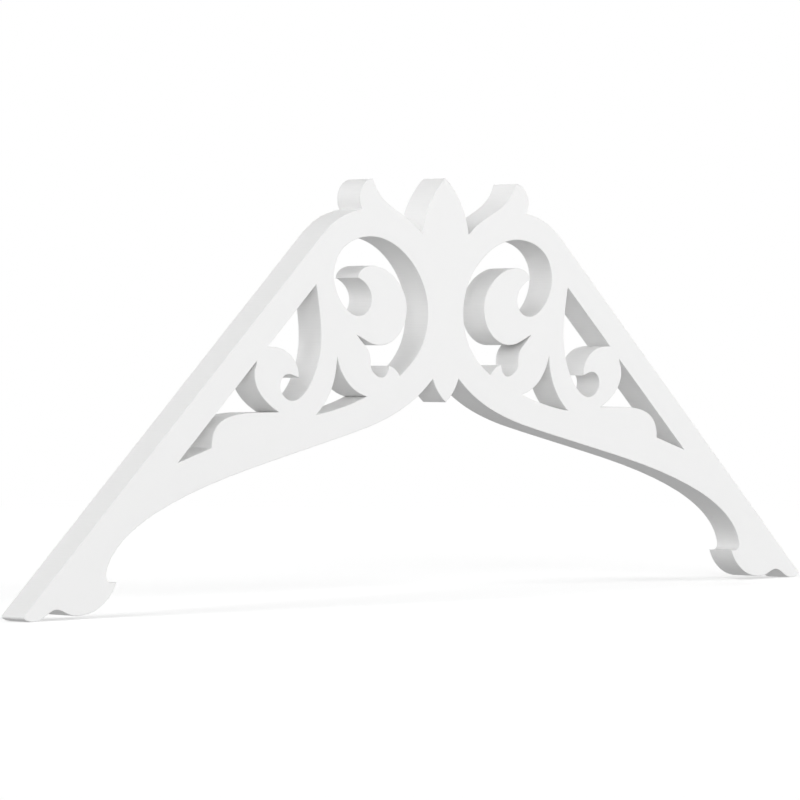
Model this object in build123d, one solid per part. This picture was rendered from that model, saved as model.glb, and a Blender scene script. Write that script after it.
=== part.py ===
from build123d import *
import os
from math import atan2, cos, degrees, hypot, radians, sin

# Gable pediment: one flat panel of white expanded PVC, scroll-cut right through in one piece.
# X runs along the foot of the gable, Y goes through the panel and Z is up. The front faces -Y.
# The origin is halfway between the two ends, halfway through the panel, level with the underside.
# Sizes are millimetres. The panel is the same left and right, so they describe the right half.
# A pair of sizes is a step: so far to the right and so far up from the place before it.
# A heading is the way an edge runs at a place, in degrees: 0 is to the right and 90 is up.
# Fullness says how far a curved edge holds on to the headings at its ends.

# Panel
overall_width = 914.4
panel_thickness = 25.4

# Rake: the two straight top edges, which follow the roof slope
rake_rise = 11.0
rake_run = 12.0
rake_band = 24.5  # straight border between a rake edge and the openings under it

# Eave end: a small nose, a drip groove and a quarter round that ends in a sharp toe
nose_radius = 2.0
nose_height = 3.8
sole_inset = 9.7  # from the end of the panel to where the sole levels out
groove_outer = (19.7, 2.8)  # (inset from the end of the panel, height)
groove_crown = (32.2, 8.1)
groove_inner = (43.7, 4.6)
round_foot = (54.8, 2.8)
round_to_toe = (-38.6, 23.8)
round_fullness = 0.44
toe_heading = 111.3
toe_ledge = 5.3  # level top of the toe, as far as the quirk
quirk_radius = 5.3

# Shoulder: the hooked scroll between the top leaf and the rake
throat_x = 98.0  # from the centreline to the throat behind the hook
throat_drop = 19.4  # from the line of the rake down to the throat
bend_run = 48.0  # from the throat out to where the rake becomes straight
bend_heading = -12.0
bend_fullness = 0.435
hook_reach = 13.3  # from the throat back to the hook's point
hook_rise = 24.2
hook_radius = 15.8
hook_heading = 68.0
leaf_notch_heading = 41.0
rise_fullness = 0.435

# Top leaf, the point that stands at the centre
leaf_half_width = 27.7
leaf_notch_drop = 18.5  # from the throat down to the notch beside the leaf
leaf_height = 45.2
leaf_flank_radius = 72.0

# Drop leaf, the point that hangs at the centre
crown_depth = 136.5  # from the throat down to the notch beside the drop leaf
drop_half_width = 15.3
drop_height = 18.9
drop_flank_radius = 41.0

# Lower edge, from the notch out to the eave end: a swell, a straight run and the long leg
drop_notch_heading = 137.0
notch_to_run = (104.7, -45.1)
crown_fullness = 0.36
straight_run = (80.0, -18.2)
leg_fullness = 0.357
leg_heading = 103.0

# Scroll opening, a large oval that curls in on itself, from its lower cusp clockwise
spine_half_width = 21.2  # from the centreline to the oval
scroll_wall = 22.1  # height of the wall between the throat and the oval
cusp_heading = 148.5
oval_left = (-32.8, 51.5)
oval_left_fullness = 0.455
oval_top = (65.4, 59.9)
oval_top_fullness = 0.505
oval_right = (42.6, -31.4)
oval_right_fullness = 0.59
curl_bottom = (-27.6, -31.9)
curl_bottom_fullness = 0.48
curl_left = (-14.8, 13.4)
curl_left_fullness = 0.59
curl_tip = (15.5, 16.9)
curl_tip_heading = 18.9
curl_tip_fullness = 0.455
eye_heading = 95.0
eye_top = (-16.5, 9.8)
eye_top_fullness = 0.505
eye_left = (-40.1, -33.6)
eye_left_fullness = 0.50
eye_bottom = (31.2, -30.1)
eye_bottom_fullness = 0.56
eye_tip = (26.4, 8.3)
eye_tip_heading = 22.0
eye_tip_fullness = 0.40
lobe_heading = 225.4
lobe_throat = (-15.9, -24.4)
lobe_throat_fullness = 0.575
lobe_bottom = (-12.4, -9.6)
lobe_bottom_fullness = 0.45
lobe_tip = (-7.9, 9.3)
lobe_tip_fullness = 0.56
crest_radius = 17.5

# Leaf opening, the small three-pointed one: its left tip, then its top and right tips from there
leaf_opening_left = (76.6, -13.4)  # from the notch beside the drop leaf
leaf_opening_top = (34.0, 31.8)
leaf_opening_right = (57.5, -13.9)
leaf_opening_flank_radius = 42.5
leaf_opening_back_radius = 57.0
leaf_opening_foot_radius = 290.0

# Upper rake opening, with a hooked lobe at its foot, from its top corner
upper_tie = 20.2  # from the oval out to the corner
upper_run = 53.7  # along the foot of the gable
upper_end_heading = 175.6
upper_hook = (19.0, -73.6)  # from the corner
upper_back_heading = 266.0
upper_back_fullness = 0.60
hook_lobe_heading = 10.8
lobe_top = (11.3, 2.8)
lobe_top_fullness = 0.37
upper_right = (9.5, -9.3)
upper_right_fullness = 0.60
upper_bottom = (-13.5, -11.5)
upper_bottom_fullness = 0.51
upper_left = (-31.6, 50.8)
upper_left_fullness = 0.49
upper_corner_heading = 79.8
upper_corner_fullness = 0.33

# Lower rake opening, pointed at both ends, from its top corner
lower_tie = 11.9  # from the end of the upper rake opening out to the corner
lower_run = 85.0  # along the foot of the gable
lower_toe = (-24.0, -40.3)  # from the corner
lower_toe_level = 24.0  # level stretch of the foot behind the toe
lower_toe_heading = 25.5
lower_bulge = (26.6, 29.2)
lower_bulge_fullness = 0.427
lower_corner_heading = 101.0
lower_corner_fullness = 0.74
sill_step = (-36.1, 11.0)  # from the far corner back to the foot of the small step
step_height = 1.6
climb_fullness = 0.71

# Headings
RIGHT = 0
UP = 90
LEFT = 180
DOWN = 270

# Rake line, from the sizes above
half_width = overall_width / 2
rake_slope = rake_rise / rake_run
rake_heading = degrees(atan2(-rake_rise, rake_run))
rake_length_per_run = hypot(1, rake_slope)
across_rake = (rake_slope / rake_length_per_run, 1 / rake_length_per_run)
nose_centre = (half_width - nose_radius, nose_height)
rake_end = (
    nose_centre[0] + nose_radius * across_rake[0],
    nose_centre[1] + nose_radius * across_rake[1],
)


def rake_place(x):
    """Place on the rake edge, x from the centreline."""
    return Vector(x, rake_end[1] + (rake_end[0] - x) * rake_slope)


def inner_rake_place(x):
    """Place on the openings' edge along the rake, which the border's width sets."""
    return rake_place(x) - Vector(0, rake_band * rake_length_per_run)


# Places that the edges are drawn from
throat = rake_place(throat_x) - Vector(0, throat_drop)
leaf_notch = Vector(leaf_half_width, throat.Y - leaf_notch_drop)
leaf_tip = Vector(0, leaf_notch.Y + leaf_height)
drop_notch = Vector(drop_half_width, throat.Y - crown_depth)
drop_tip = Vector(0, drop_notch.Y - drop_height)
oval_crown = Vector(spine_half_width + oval_top[0], throat.Y - scroll_wall)
cusp = oval_crown - Vector(oval_top) - Vector(oval_left)
upper_corner = inner_rake_place(oval_crown.X + oval_right[0] + upper_tie)
upper_end = inner_rake_place(upper_corner.X + upper_run)
lower_corner = inner_rake_place(upper_end.X + lower_tie)
lower_far_corner = inner_rake_place(lower_corner.X + lower_run)


def from_end(size):
    """Place given by its inset from the end of the panel and its height."""
    return Vector(half_width - size[0], size[1])


def along(heading):
    """Direction of a heading."""
    return Vector(cos(radians(heading)), sin(radians(heading)))


def swell(start, leaving, end, arriving, fullness):
    """Curved edge that leaves its start on one heading and arrives at its end on another."""
    out = along(leaving)
    home = along(arriving)
    first = out * out.dot(end - start) * fullness
    last = home * home.dot(end - start) * fullness
    return Bezier(start, start + first, end - last, end)


def swells(start, leaving, *stations):
    """Curved edges that run on through stations, each a step, a heading and a fullness."""
    edges = []
    for step, heading, fullness in stations:
        end = start + Vector(step)
        edges.append(swell(start, leaving, end, heading, fullness))
        start = end
        leaving = heading
    return edges


def top_leaf():
    """Flank of the top leaf, from its tip down to the notch beside it."""
    return [RadiusArc(leaf_tip, leaf_notch, leaf_flank_radius)]


def shoulder():
    """From the leaf's notch up to the hook's point, round to the throat and down to the rake."""
    point = throat + Vector(-hook_reach, hook_rise)
    rise = swell(leaf_notch, leaf_notch_heading, point, hook_heading, rise_fullness)
    hook = RadiusArc(point, throat, hook_radius)
    rake_start = rake_place(throat_x + bend_run)
    bend = swell(throat, bend_heading, rake_start, rake_heading, bend_fullness)
    return [rise, hook, bend]


def eave_end():
    """Rake edge, nose, drip groove, quarter round, and the quirk behind its toe."""
    rake = Line(rake_place(throat_x + bend_run), rake_end)
    sole_start = from_end((sole_inset, 0))
    sole_run = nose_centre[0] - sole_start.X
    sole_radius = (sole_run**2 + nose_height**2 - nose_radius**2) / (2 * (nose_height - nose_radius))
    lean = (sole_run, nose_height - sole_radius)
    reach = nose_radius / hypot(*lean)
    nose_foot = (nose_centre[0] + lean[0] * reach, nose_height + lean[1] * reach)
    nose = ThreePointArc(rake_end, (half_width, nose_height), nose_foot)
    sole = TangentArc(sole_start, nose_foot, tangent=along(RIGHT))
    round_start = from_end(round_foot)
    groove = Spline(
        sole_start,
        from_end(groove_outer),
        from_end(groove_crown),
        from_end(groove_inner),
        round_start,
        tangents=[along(LEFT), along(LEFT)],
    )
    toe = round_start + Vector(round_to_toe)
    quarter_round = swell(round_start, LEFT, toe, toe_heading, round_fullness)
    ledge_end = toe + Vector(toe_ledge, 0)
    ledge = Line(toe, ledge_end)
    quirk = JernArc(ledge_end, along(RIGHT), quirk_radius, leg_heading)
    return [rake, nose, sole, groove, quarter_round, ledge, quirk]


def lower_edge(quirk_top):
    """From the quirk up the leg, along the straight run and up to the drop leaf's notch."""
    run_inner = drop_notch + Vector(notch_to_run)
    run_outer = run_inner + Vector(straight_run)
    run_heading = LEFT + degrees(atan2(straight_run[1], straight_run[0]))
    leg = swell(quirk_top, leg_heading, run_outer, run_heading, leg_fullness)
    run = Line(run_outer, run_inner)
    crown = swell(run_inner, run_heading, drop_notch, drop_notch_heading, crown_fullness)
    return [leg, run, crown]


def drop_leaf():
    """Flank of the drop leaf, from the notch beside it down to its tip."""
    return [RadiusArc(drop_notch, drop_tip, drop_flank_radius)]


def half_outline():
    """Face of the right half, before any opening."""
    end = eave_end()
    edge = lower_edge(end[-1] @ 1)
    middle = Line(drop_tip, leaf_tip)
    return make_face([*top_leaf(), *shoulder(), *end, *edge, *drop_leaf(), middle])


def scroll_opening():
    """The large oval, its inward curl, the eye inside the curl and the lobe at its foot."""
    oval = swells(
        cusp,
        cusp_heading,
        (oval_left, UP, oval_left_fullness),
        (oval_top, RIGHT, oval_top_fullness),
        (oval_right, DOWN, oval_right_fullness),
        (curl_bottom, LEFT, curl_bottom_fullness),
        (curl_left, UP, curl_left_fullness),
        (curl_tip, curl_tip_heading, curl_tip_fullness),
    )
    eye = swells(
        oval[-1] @ 1,
        eye_heading,
        (eye_top, LEFT, eye_top_fullness),
        (eye_left, DOWN, eye_left_fullness),
        (eye_bottom, RIGHT, eye_bottom_fullness),
        (eye_tip, eye_tip_heading, eye_tip_fullness),
    )
    lobe = swells(
        eye[-1] @ 1,
        lobe_heading,
        (lobe_throat, DOWN, lobe_throat_fullness),
        (lobe_bottom, LEFT, lobe_bottom_fullness),
        (lobe_tip, UP, lobe_tip_fullness),
    )
    crest = RadiusArc(lobe[-1] @ 1, cusp, -crest_radius)
    return make_face([*oval, *eye, *lobe, crest])


def leaf_opening():
    """The small three-pointed opening under the scroll."""
    left = drop_notch + Vector(leaf_opening_left)
    top = left + Vector(leaf_opening_top)
    right = left + Vector(leaf_opening_right)
    flank = RadiusArc(top, left, leaf_opening_flank_radius)
    foot = RadiusArc(left, right, -leaf_opening_foot_radius)
    back = RadiusArc(right, top, leaf_opening_back_radius)
    return make_face([flank, foot, back])


def upper_rake_opening():
    """The opening under the upper rake, with the hooked lobe at its foot."""
    hook = upper_corner + Vector(upper_hook)
    rake = Line(upper_corner, upper_end)
    back = swell(upper_end, upper_end_heading, hook, upper_back_heading, upper_back_fullness)
    lobe = swells(
        hook,
        hook_lobe_heading,
        (lobe_top, RIGHT, lobe_top_fullness),
        (upper_right, DOWN, upper_right_fullness),
        (upper_bottom, LEFT, upper_bottom_fullness),
        (upper_left, UP, upper_left_fullness),
    )
    front = swell(lobe[-1] @ 1, UP, upper_corner, upper_corner_heading, upper_corner_fullness)
    return make_face([rake, back, *lobe, front])


def lower_rake_opening():
    """The opening under the lower rake, pointed at both ends."""
    step_foot = lower_far_corner + Vector(sill_step)
    step_head = step_foot + Vector(0, step_height)
    toe = lower_corner + Vector(lower_toe)
    bulge = toe + Vector(lower_bulge)
    level_end = toe + Vector(lower_toe_level, 0)
    rake = Line(lower_corner, lower_far_corner)
    sill = Line(lower_far_corner, step_foot)
    step = Line(step_foot, step_head)
    climb = swell(step_head, UP, level_end, LEFT, climb_fullness)
    level = Line(level_end, toe)
    flank = swell(toe, lower_toe_heading, bulge, UP, lower_bulge_fullness)
    shoulder_edge = swell(bulge, UP, lower_corner, lower_corner_heading, lower_corner_fullness)
    return make_face([rake, sill, step, climb, level, flank, shoulder_edge])


def pediment_panel():
    """The whole panel: the right half, cut through, mirrored and given its thickness."""
    half = half_outline()
    half -= scroll_opening()
    half -= leaf_opening()
    half -= upper_rake_opening()
    half -= lower_rake_opening()
    front = half + mirror(half, about=Plane.YZ)
    return extrude(Plane.XZ * front, amount=panel_thickness / 2, both=True)


if __name__ == "__main__":
    os.makedirs("parts", exist_ok=True)
    export_step(pediment_panel(), "parts/pediment_panel.step")
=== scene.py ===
import math
import bmesh
import bpy
from mathutils import Euler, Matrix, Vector


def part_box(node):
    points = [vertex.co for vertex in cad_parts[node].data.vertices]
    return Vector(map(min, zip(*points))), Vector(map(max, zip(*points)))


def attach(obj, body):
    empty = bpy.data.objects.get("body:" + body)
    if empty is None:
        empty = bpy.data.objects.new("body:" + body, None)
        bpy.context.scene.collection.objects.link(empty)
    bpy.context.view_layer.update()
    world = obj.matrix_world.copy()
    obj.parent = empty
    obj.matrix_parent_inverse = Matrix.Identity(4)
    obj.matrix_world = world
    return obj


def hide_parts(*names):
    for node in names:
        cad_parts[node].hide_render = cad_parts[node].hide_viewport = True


# Gable pediment, scroll-cut from one sheet of white expanded PVC
# Metres. X runs along the foot of the gable, Y through the sheet, Z up; the front faces -Y.

# Reading the front of the CAD sheet: how near counts as one place, as level, as facing front
SAME_PLACE = 1e-6
FRONT_LEVEL = 1e-5
FRONT_FACING = -0.99

# Arris: the soft edge that sanding leaves along every cut, and a narrow flat that ends it
ARRIS = 0.0005
ARRIS_STEPS = 3
ARRIS_MARGIN = 0.0003
LEAST_MITRE = 0.5

# Cut line: where it turns a corner, which stretches are straight, and how finely it is drawn
CORNER_ANGLE = math.radians(24)
STRAIGHT = 0.015
FINE_STEP = 0.0015
MOST_PARTS = 4

# Place of the cut edge's material in the sheet, after the skin's
CUT_SLOT = 1

# Finish of the closed skin and of the open-celled cut. Tint and roughness run from the first
# value to the second over a mask; grain, clouds and cutter marks are counts in a metre.
SKIN_COLOUR = (0.862, 0.862, 0.86)
SKIN_TINT = (0.985, 1.012)
SKIN_ROUGHNESS = (0.42, 0.52)
SKIN_GRAIN = 700.0
SKIN_RELIEF = 0.25
CUT_COLOUR = (0.83, 0.83, 0.828)
CUT_TINT = (0.96, 1.03)
CUT_ROUGHNESS = (0.55, 0.7)
CUT_GRAIN = 1600.0
CUT_RELIEF = 0.4
CUT_GLOSS = 0.1
CUTTER_MARKS = (900.0, 25.0, 1.0)
CLOUDS = 14.0
RELIEF_HEIGHT = 0.0003
PVC_IOR = 1.47

# Camera, at the photograph's angle
CAMERA_PLACE = Vector((-2.7121, -2.5556, 0.2092))
CAMERA_YAW = math.radians(46.27)
CAMERA_PITCH = math.radians(-0.743)
SENSOR_WIDTH = 36.0
LENS = 205.7

# Light levels: 1 lights a surface so that its colour renders as written
SKY_LEVEL = 0.2
LAMPS = {
    "front left lamp": (Vector((-1, -1, 0.33)), 0.4),
    "front right lamp": (Vector((1, -1, 0.33)), 0.58),
    "overhead left lamp": (Vector((-1, 0, 1)), 0.39),
    "back left lamp": (Vector((-1, 1, 0.33)), 0.18),
    "back right lamp": (Vector((1, 1, 0.33)), 0.18),
}
LAMP_SOFTNESS = math.radians(40)

# Floor: what the camera sees, the even light that it throws back up, and the distances from
# the object's middle over which it fades to white
FLOOR_REACH = 30.0
FLOOR_COLOUR = 0.92
FLOOR_LIFT = 0.3
FLOOR_BOUNCE = 0.42
FADE_START = 0.7
FADE_END = 2.2


def node(tree, kind, place=(0, 0), **settings):
    """Adds one node to a tree and sets its plain properties."""
    made = tree.nodes.new(kind)
    made.location = place
    for name, value in settings.items():
        setattr(made, name, value)
    return made


def front_loops(panel):
    """Closed loops of corners, (x, z), round the front face of the sheet and its openings."""
    shape = bmesh.new()
    shape.from_mesh(panel.data)
    bmesh.ops.remove_doubles(shape, verts=shape.verts, dist=SAME_PLACE)
    front = min(v.co.y for v in shape.verts)
    reach = {}
    for edge in shape.edges:
        on_front = [f for f in edge.link_faces if f.normal.y < FRONT_FACING]
        level = all(abs(v.co.y - front) < FRONT_LEVEL for v in edge.verts)
        if level and len(on_front) == 1:
            a, b = edge.verts
            reach.setdefault(a, []).append(b)
            reach.setdefault(b, []).append(a)
    loops = []
    while reach:
        start = next(iter(reach))
        loop = [start]
        before, here = start, reach[start][0]
        while here is not start:
            loop.append(here)
            ahead = [v for v in reach[here] if v is not before]
            before, here = here, ahead[0]
        for v in loop:
            del reach[v]
        loops.append([Vector((v.co.x, v.co.z)) for v in loop])
    shape.free()
    return loops


def area(loop):
    """Signed area inside a loop, positive where it runs anticlockwise."""
    return sum(a.cross(b) for a, b in zip(loop, loop[1:] + loop[:1])) / 2


def into_sheet(loops):
    """The loops turned so that the sheet always lies on the left of the way they run."""
    outline = max(loops, key=lambda loop: abs(area(loop)))
    turned = []
    for loop in loops:
        anticlockwise = area(loop) > 0
        wanted = loop is outline
        turned.append(loop if anticlockwise == wanted else loop[::-1])
    return turned


def turn_at(loop, i):
    """Angle through which a loop turns at one of its places."""
    return (loop[i] - loop[i - 1]).angle(loop[(i + 1) % len(loop)] - loop[i])


def heading(before, here, after):
    """Way that the cut line runs at a place; a straight stretch beside it keeps its own."""
    back = here - before
    on = after - here
    if back.length > STRAIGHT:
        return back.normalized()
    if on.length > STRAIGHT:
        return on.normalized()
    return (back.normalized() * on.length + on.normalized() * back.length).normalized()


def smooth_line(loop, low, high):
    """The loop with its bends drawn as curves between its corners, inside the sheet's box.

    A stretch that starts or ends at a corner bends evenly, so its heading there mirrors
    the one at its other end.
    """
    count = len(loop)
    corner = [turn_at(loop, i) > CORNER_ANGLE for i in range(count)]
    drawn = []
    for i, here in enumerate(loop):
        j = (i + 1) % count
        there = loop[j]
        chord = there - here
        across = Vector((-chord.y, chord.x)).normalized()
        leaving = arriving = chord.normalized()
        if not corner[i]:
            leaving = heading(loop[i - 1], here, there)
        if not corner[j]:
            arriving = heading(here, there, loop[(j + 1) % count])
        if corner[i]:
            leaving = arriving.reflect(across)
        if corner[j]:
            arriving = leaving.reflect(across)
        parts = min(MOST_PARTS, max(1, round(chord.length / FINE_STEP)))
        if chord.length > STRAIGHT:
            parts = 1
        for k in range(parts):
            t = k / parts
            blend = t * t * (3 - 2 * t)
            bend = leaving * (t * (1 - t) ** 2) - arriving * (t * t * (1 - t))
            place = here + chord * blend + bend * chord.length
            x = min(high.x, max(low.x, place.x))
            z = min(high.z, max(low.z, place.y))
            drawn.append(Vector((x, z)))
    return drawn


def inset(loop, depth):
    """The loop moved into the sheet by a depth, with its corners mitred."""
    moved = []
    count = len(loop)
    for i, here in enumerate(loop):
        before = (here - loop[i - 1]).normalized()
        after = (loop[(i + 1) % count] - here).normalized()
        left = Vector((-before.y, before.x)) + Vector((-after.y, after.x))
        left.normalize()
        mitre = max(LEAST_MITRE, left.dot(Vector((-after.y, after.x))))
        moved.append(here + left * depth / mitre)
    return moved


def arris_profile(half):
    """Steps of the section from the skin round to the cut, each a depth in and a level."""
    steps = []
    for k in range(ARRIS_STEPS + 1):
        turn = math.pi / 2 * k / ARRIS_STEPS
        steps.append((ARRIS * (1 - math.sin(turn)), half - ARRIS * (1 - math.cos(turn))))
    steps.append((0.0, half - ARRIS - ARRIS_MARGIN))
    return steps


def cut_wall(shape, loop, section, middle, run):
    """Rounded arrises and cut wall along one loop; returns its front and back rims."""
    count = len(loop)
    rings = []
    for depth, level in section:
        line = inset(loop, depth)
        rings.append([shape.verts.new((p.x, middle + level, p.y)) for p in line])
    along = [0.0]
    for i in range(count):
        along.append(along[-1] + (loop[(i + 1) % count] - loop[i]).length)
    for r in range(len(rings) - 1):
        first, second = rings[r], rings[r + 1]
        near, far = section[r][1], section[r + 1][1]
        for i in range(count):
            j = (i + 1) % count
            face = shape.faces.new((first[i], second[i], second[j], first[j]))
            face.smooth = True
            face.material_index = CUT_SLOT
            start, end = along[i], along[i + 1]
            places = ((start, near), (start, far), (end, far), (end, near))
            for corner, place in zip(face.loops, places):
                corner[run].uv = place
    for i in range(count):
        if turn_at(loop, i) > CORNER_ANGLE:
            for upper, lower in zip(rings, rings[1:]):
                shape.edges.get((upper[i], lower[i])).smooth = False
    rims = []
    for ring in (rings[0], rings[-1]):
        rim = [shape.edges.get((ring[i], ring[(i + 1) % count])) for i in range(count)]
        for edge in rim:
            edge.smooth = False
        rims.append(rim)
    return rims


def cut_panel(cad_panel):
    """The sheet as one mesh: flat skins, cut edges and a fine rounded arris between them."""
    low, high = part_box("pediment_panel")
    half = (high.y - low.y) / 2
    middle = (high.y + low.y) / 2
    front = [(depth, -level) for depth, level in arris_profile(half)]
    back = [(depth, level) for depth, level in reversed(arris_profile(half))]
    shape = bmesh.new()
    run = shape.loops.layers.uv.new("cut")
    front_rim = []
    back_rim = []
    for loop in into_sheet(front_loops(cad_panel)):
        rims = cut_wall(shape, smooth_line(loop, low, high), front + back, middle, run)
        front_rim.extend(rims[0])
        back_rim.extend(rims[1])
    for rim in (front_rim, back_rim):
        bmesh.ops.triangle_fill(shape, edges=rim, use_beauty=True, use_dissolve=False)
    bmesh.ops.recalc_face_normals(shape, faces=shape.faces)
    mesh = bpy.data.meshes.new("pediment_sheet")
    shape.to_mesh(mesh)
    shape.free()
    sheet = bpy.data.objects.new("pediment_sheet", mesh)
    bpy.context.scene.collection.objects.link(sheet)
    return sheet


def fine_grain():
    """Group: the faint even grain of a sheet, as a height and a mask of soft clouds."""
    tree = bpy.data.node_groups.new("fine grain", "ShaderNodeTree")
    tree.interface.new_socket("Vector", in_out="INPUT", socket_type="NodeSocketVector")
    tree.interface.new_socket("Scale", in_out="INPUT", socket_type="NodeSocketFloat")
    tree.interface.new_socket("Height", in_out="OUTPUT", socket_type="NodeSocketFloat")
    tree.interface.new_socket("Mottle", in_out="OUTPUT", socket_type="NodeSocketFloat")
    start = node(tree, "NodeGroupInput", (-600, 0))
    end = node(tree, "NodeGroupOutput", (400, 0))
    grain = node(tree, "ShaderNodeTexNoise", (-300, 150))
    grain.inputs["Detail"].default_value = 3.0
    grain.inputs["Roughness"].default_value = 0.6
    broad = node(tree, "ShaderNodeTexNoise", (-300, -150))
    broad.inputs["Scale"].default_value = CLOUDS
    broad.inputs["Detail"].default_value = 2.0
    tree.links.new(start.outputs["Vector"], grain.inputs["Vector"])
    tree.links.new(start.outputs["Scale"], grain.inputs["Scale"])
    tree.links.new(start.outputs["Vector"], broad.inputs["Vector"])
    tree.links.new(grain.outputs["Fac"], end.inputs["Height"])
    tree.links.new(broad.outputs["Fac"], end.inputs["Mottle"])
    return tree


def grained(name, grain_group, grain_scale):
    """A new material with the fine grain placed in it by the object's own coordinates."""
    material = bpy.data.materials.new(name)
    material.use_nodes = True
    tree = material.node_tree
    tree.nodes["Principled BSDF"].inputs["IOR"].default_value = PVC_IOR
    place = node(tree, "ShaderNodeTexCoord", (-1300, -100))
    grain = node(tree, "ShaderNodeGroup", (-900, -100), node_tree=grain_group)
    grain.inputs["Scale"].default_value = grain_scale
    tree.links.new(place.outputs["Object"], grain.inputs["Vector"])
    return material, grain


def finish(tree, mask, colour, tint, roughness):
    """Lets the shader's colour and roughness follow a mask."""
    shader = tree.nodes["Principled BSDF"]
    mix = node(tree, "ShaderNodeMix", (-400, 200), data_type="RGBA")
    for side, share in zip("AB", tint):
        mix.inputs[side].default_value = (*(c * share for c in colour), 1)
    tree.links.new(mask, mix.inputs["Factor"])
    tree.links.new(mix.outputs["Result"], shader.inputs["Base Color"])
    rough = node(tree, "ShaderNodeMapRange", (-400, 0))
    rough.inputs["To Min"].default_value, rough.inputs["To Max"].default_value = roughness
    tree.links.new(mask, rough.inputs["Value"])
    tree.links.new(rough.outputs["Result"], shader.inputs["Roughness"])


def relief(tree, height, strength):
    """Lets the shader's bump follow a height."""
    bump = node(tree, "ShaderNodeBump", (-400, -250))
    bump.inputs["Strength"].default_value = strength
    bump.inputs["Distance"].default_value = RELIEF_HEIGHT
    tree.links.new(height, bump.inputs["Height"])
    tree.links.new(bump.outputs["Normal"], tree.nodes["Principled BSDF"].inputs["Normal"])


def sheet_skin(grain_group):
    """The smooth closed skin of the sheet: matt white with the faintest grain."""
    material, grain = grained("white PVC skin", grain_group, SKIN_GRAIN)
    tree = material.node_tree
    finish(tree, grain.outputs["Mottle"], SKIN_COLOUR, SKIN_TINT, SKIN_ROUGHNESS)
    relief(tree, grain.outputs["Height"], SKIN_RELIEF)
    return material


def routed_edge(grain_group):
    """The cut edge: dull open-celled white, with the fine marks of the cutter across it."""
    material, grain = grained("white PVC cut edge", grain_group, CUT_GRAIN)
    tree = material.node_tree
    tree.nodes["Principled BSDF"].inputs["Specular IOR Level"].default_value = CUT_GLOSS
    run = node(tree, "ShaderNodeUVMap", (-1300, 200), uv_map="cut")
    stretch = node(tree, "ShaderNodeMapping", (-1100, 200))
    stretch.inputs["Scale"].default_value = CUTTER_MARKS
    tree.links.new(run.outputs["UV"], stretch.inputs["Vector"])
    marks = node(tree, "ShaderNodeTexNoise", (-900, 200))
    marks.inputs["Scale"].default_value = 1.0
    marks.inputs["Detail"].default_value = 2.0
    tree.links.new(stretch.outputs["Vector"], marks.inputs["Vector"])
    finish(tree, marks.outputs["Fac"], CUT_COLOUR, CUT_TINT, CUT_ROUGHNESS)
    height = node(tree, "ShaderNodeMath", (-600, -200), operation="ADD")
    tree.links.new(marks.outputs["Fac"], height.inputs[0])
    tree.links.new(grain.outputs["Height"], height.inputs[1])
    relief(tree, height.outputs["Value"], CUT_RELIEF)
    return material


def floor_finish():
    """Matt floor near the object, white away from it, and even light for all but the camera."""
    material = bpy.data.materials.new("pale floor")
    material.use_nodes = True
    tree = material.node_tree
    tree.nodes.clear()
    end = node(tree, "ShaderNodeOutputMaterial", (600, 0))
    seen = node(tree, "ShaderNodeLightPath", (-800, 200))

    # How far away from the object the camera looks at the floor
    place = node(tree, "ShaderNodeNewGeometry", (-800, -200))
    length = node(tree, "ShaderNodeVectorMath", (-600, -200), operation="LENGTH")
    tree.links.new(place.outputs["Position"], length.inputs[0])
    fade = node(tree, "ShaderNodeMapRange", (-400, -200), interpolation_type="SMOOTHSTEP")
    fade.inputs["From Min"].default_value = FADE_START
    fade.inputs["From Max"].default_value = FADE_END
    tree.links.new(length.outputs["Value"], fade.inputs["Value"])
    away = node(tree, "ShaderNodeMath", (-200, -200), operation="MULTIPLY")
    tree.links.new(fade.outputs["Result"], away.inputs[0])
    tree.links.new(seen.outputs["Is Camera Ray"], away.inputs[1])

    # Near floor, which takes the shadow
    matt = node(tree, "ShaderNodeBsdfDiffuse", (-400, 300))
    matt.inputs["Color"].default_value = (FLOOR_COLOUR, FLOOR_COLOUR, FLOOR_COLOUR, 1)
    lift = node(tree, "ShaderNodeEmission", (-400, 150))
    lift.inputs["Strength"].default_value = FLOOR_LIFT
    near = node(tree, "ShaderNodeAddShader", (-200, 200))
    tree.links.new(matt.outputs["BSDF"], near.inputs[0])
    tree.links.new(lift.outputs["Emission"], near.inputs[1])

    # Light thrown back up, full white where gloss shows it
    level = node(tree, "ShaderNodeMapRange", (-400, 0))
    level.inputs["To Min"].default_value = FLOOR_BOUNCE
    level.inputs["To Max"].default_value = 1.0
    tree.links.new(seen.outputs["Is Glossy Ray"], level.inputs["Value"])
    bounce = node(tree, "ShaderNodeEmission", (-200, 50))
    tree.links.new(level.outputs["Result"], bounce.inputs["Strength"])

    looked_at = node(tree, "ShaderNodeMixShader", (50, 200))
    tree.links.new(seen.outputs["Is Camera Ray"], looked_at.inputs["Fac"])
    tree.links.new(bounce.outputs["Emission"], looked_at.inputs[1])
    tree.links.new(near.outputs["Shader"], looked_at.inputs[2])
    far = node(tree, "ShaderNodeEmission", (50, 0))
    far.inputs["Strength"].default_value = 1.0
    mixed = node(tree, "ShaderNodeMixShader", (300, 0))
    tree.links.new(away.outputs["Value"], mixed.inputs["Fac"])
    tree.links.new(looked_at.outputs["Shader"], mixed.inputs[1])
    tree.links.new(far.outputs["Emission"], mixed.inputs[2])
    tree.links.new(mixed.outputs["Shader"], end.inputs["Surface"])
    return material


def white_floor():
    """Pale floor that keeps the shadow and fades to white away from the object."""
    mesh = bpy.data.meshes.new("floor")
    r = FLOOR_REACH
    mesh.from_pydata([(-r, -r, 0), (r, -r, 0), (r, r, 0), (-r, r, 0)], [], [(0, 1, 2, 3)])
    mesh.materials.append(floor_finish())
    floor = bpy.data.objects.new("floor", mesh)
    bpy.context.scene.collection.objects.link(floor)


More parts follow.
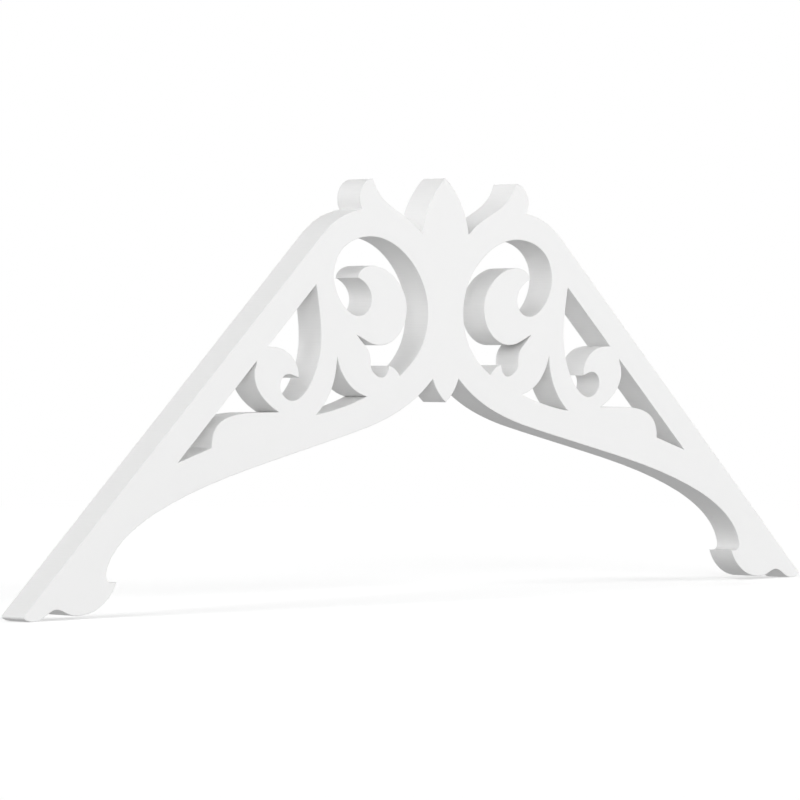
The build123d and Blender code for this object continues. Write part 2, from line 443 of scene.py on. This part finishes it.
def white_surround():
    """World: white to the camera, gloss and glass, and a soft level as light."""
    world = bpy.data.worlds.new("studio")
    world.use_nodes = True
    tree = world.node_tree
    tree.nodes.clear()
    end = node(tree, "ShaderNodeOutputWorld", (400, 0))
    seen = node(tree, "ShaderNodeLightPath", (-600, 0))
    direct = node(tree, "ShaderNodeMath", (-400, 100), operation="MAXIMUM")
    tree.links.new(seen.outputs["Is Camera Ray"], direct.inputs[0])
    tree.links.new(seen.outputs["Is Glossy Ray"], direct.inputs[1])
    through = node(tree, "ShaderNodeMath", (-200, 0), operation="MAXIMUM")
    tree.links.new(direct.outputs["Value"], through.inputs[0])
    tree.links.new(seen.outputs["Is Transmission Ray"], through.inputs[1])
    level = node(tree, "ShaderNodeMapRange", (0, 0))
    level.inputs["To Min"].default_value = SKY_LEVEL
    level.inputs["To Max"].default_value = 1.0
    tree.links.new(through.outputs["Value"], level.inputs["Value"])
    sky = node(tree, "ShaderNodeBackground", (200, 0))
    sky.inputs["Color"].default_value = (1, 1, 1, 1)
    tree.links.new(level.outputs["Result"], sky.inputs["Strength"])
    tree.links.new(sky.outputs["Background"], end.inputs["Surface"])
    bpy.context.scene.world = world


def soft_lamps():
    """Broad soft lamps round the object."""
    for name, (side, level) in LAMPS.items():
        lamp = bpy.data.lights.new(name, "SUN")
        lamp.energy = level * math.pi
        lamp.angle = LAMP_SOFTNESS
        holder = bpy.data.objects.new(name, lamp)
        holder.rotation_euler = side.to_track_quat("Z", "Y").to_euler()
        bpy.context.scene.collection.objects.link(holder)


def camera():
    """Long lens to the left of the front, just above half the panel's height."""
    lens = bpy.data.cameras.new("camera")
    lens.sensor_width = SENSOR_WIDTH
    lens.lens = LENS
    view = bpy.data.objects.new("camera", lens)
    view.location = CAMERA_PLACE
    view.rotation_euler = Euler((math.pi / 2 + CAMERA_PITCH, 0, -CAMERA_YAW))
    bpy.context.scene.collection.objects.link(view)
    bpy.context.scene.camera = view


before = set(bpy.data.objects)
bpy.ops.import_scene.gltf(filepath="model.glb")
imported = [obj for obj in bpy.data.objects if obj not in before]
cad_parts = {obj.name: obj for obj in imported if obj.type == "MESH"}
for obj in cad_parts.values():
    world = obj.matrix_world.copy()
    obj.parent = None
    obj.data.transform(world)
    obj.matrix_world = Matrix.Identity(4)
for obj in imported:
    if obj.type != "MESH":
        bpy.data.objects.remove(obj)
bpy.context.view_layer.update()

panel = cut_panel(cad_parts["pediment_panel"])
grain = fine_grain()
panel.data.materials.append(sheet_skin(grain))
panel.data.materials.append(routed_edge(grain))
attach(panel, "root")
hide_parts("pediment_panel")

white_floor()
white_surround()
soft_lamps()
camera()
bpy.context.scene.view_settings.view_transform = "Standard"
